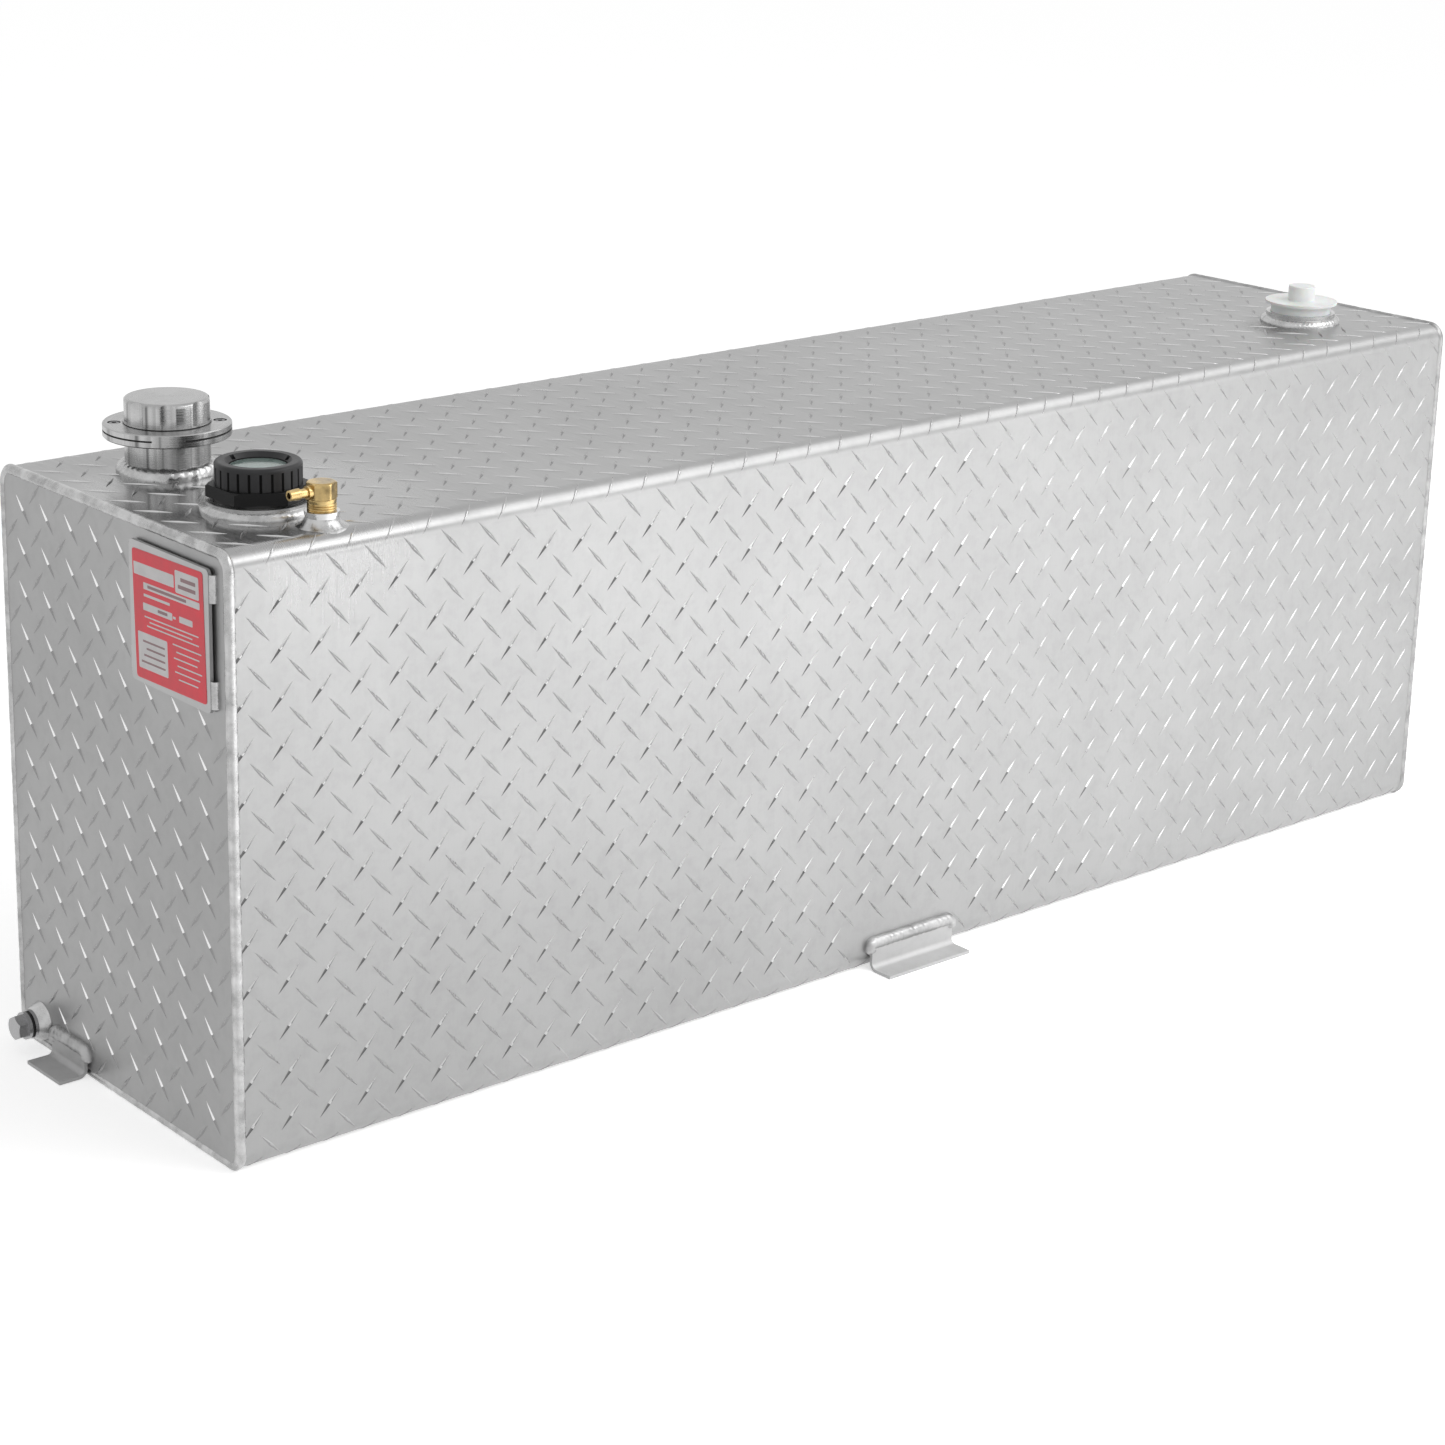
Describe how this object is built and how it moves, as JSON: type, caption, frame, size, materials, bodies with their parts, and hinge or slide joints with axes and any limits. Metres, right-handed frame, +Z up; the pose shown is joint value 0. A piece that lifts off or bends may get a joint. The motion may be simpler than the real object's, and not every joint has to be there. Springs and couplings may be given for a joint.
{
  "type": "truck bed transfer tank",
  "caption": "Long narrow tread-plate fuel tank with a screwed fill cap, float gauge, vent elbow, pump opening, drain plug and welded feet.",
  "frame": {"origin": "middle of the tank body's underside", "axes": "+X along the tank towards the pump opening, +Y to the back, +Z up"},
  "size_m": [1.518, 0.3757, 0.5706],
  "materials": {
    "tread_sheet": "bright rolled tread sheet",
    "bright_aluminium": "turned or sheared, satin",
    "weld": "rippled weld bead",
    "plate_aluminium": "satin",
    "steel": "plated",
    "gauge_black": "satin black",
    "rubber": "matte",
    "window": "clear, polished",
    "dial": "matte",
    "pointer_red": "matte",
    "brass": "satin",
    "plug_white": "pale, slightly translucent",
    "label_red": "printed film"
  },
  "bodies": {
    "tank": {"tank_wrap": "tread_sheet", "end_cap_left": "tread_sheet", "end_cap_right": "tread_sheet", "seam_weld": "weld", "end_weld_left": "weld", "end_weld_right": "weld", "fill_neck_weld": "weld", "gauge_bung_weld": "weld", "vent_bung_weld": "weld", "pump_bung_weld": "weld", "drain_boss_weld": "weld", "foot_welds": "weld", "label_plate_welds": "weld", "baffle_left": "bright_aluminium", "baffle_right": "bright_aluminium", "fill_neck": "bright_aluminium", "cap_ring": "bright_aluminium", "gauge_bung": "bright_aluminium", "vent_bung": "bright_aluminium", "pump_bung": "bright_aluminium", "drain_boss": "bright_aluminium", "foot_front": "bright_aluminium", "foot_left": "bright_aluminium", "foot_right": "bright_aluminium", "neck_gasket": "rubber", "gauge_seal": "rubber", "ring_screws": "steel", "guide_rods": "steel", "gauge_body": "gauge_black", "gauge_lock_ring": "gauge_black", "guide_foot": "gauge_black", "gauge_window": "window", "gauge_dial": "dial", "vent_elbow": "brass", "label_plate": "plate_aluminium", "label": "label_red"},
    "cap_carriage": {"cap_seal": "rubber"},
    "cap": {"fill_cap": "bright_aluminium"},
    "drain_carriage": {"drain_seal": "rubber"},
    "drain_stopper": {"drain_plug": "steel"},
    "float_body": {"float": "gauge_black", "float_key": "brass"},
    "indicator": {"twisted_strip": "steel", "gauge_pointer": "pointer_red"},
    "pump_plug": {"transport_plug": "plug_white"}
  },
  "joints": [
    {"name": "fill_cap_lift", "type": "slide", "parent": "tank", "child": "cap_carriage", "axis": [0, 0, 1], "range_m": [0, 0.0127]},
    {"name": "fill_cap_turn", "type": "hinge", "parent": "cap_carriage", "child": "cap", "pos_m": [-0.632, 0.0695, 0.5497], "axis": [0, 0, 1], "range_deg": [0, 1080]},
    {"name": "drain_plug_draw", "type": "slide", "parent": "tank", "child": "drain_carriage", "axis": [-1, 0, 0], "range_m": [0, 0.0105]},
    {"name": "drain_plug_turn", "type": "hinge", "parent": "drain_carriage", "child": "drain_stopper", "pos_m": [-0.7425, 0.1375, 0.023], "axis": [-1, 0, 0], "range_deg": [0, 2520]},
    {"name": "float_rise", "type": "slide", "parent": "tank", "child": "float_body", "axis": [0, 0, 1], "range_m": [0, 0.4]},
    {"name": "indicator_turn", "type": "hinge", "parent": "tank", "child": "indicator", "pos_m": [-0.6355, -0.0705, 0.5], "axis": [0, 0, 1], "range_deg": [-270, 0]},
    {"name": "transport_plug_lift", "type": "slide", "parent": "tank", "child": "pump_plug", "axis": [0, 0, 1], "range_m": [0, 0.026]}
  ],
  "couplings": [
    {"joint": "fill_cap_lift", "follows": "fill_cap_turn", "m_per_rad": 0.0006737},
    {"joint": "drain_plug_draw", "follows": "drain_plug_turn", "m_per_rad": 0.0002387},
    {"joint": "indicator_turn", "follows": "float_rise", "rad_per_m": -11.78}
  ]
}
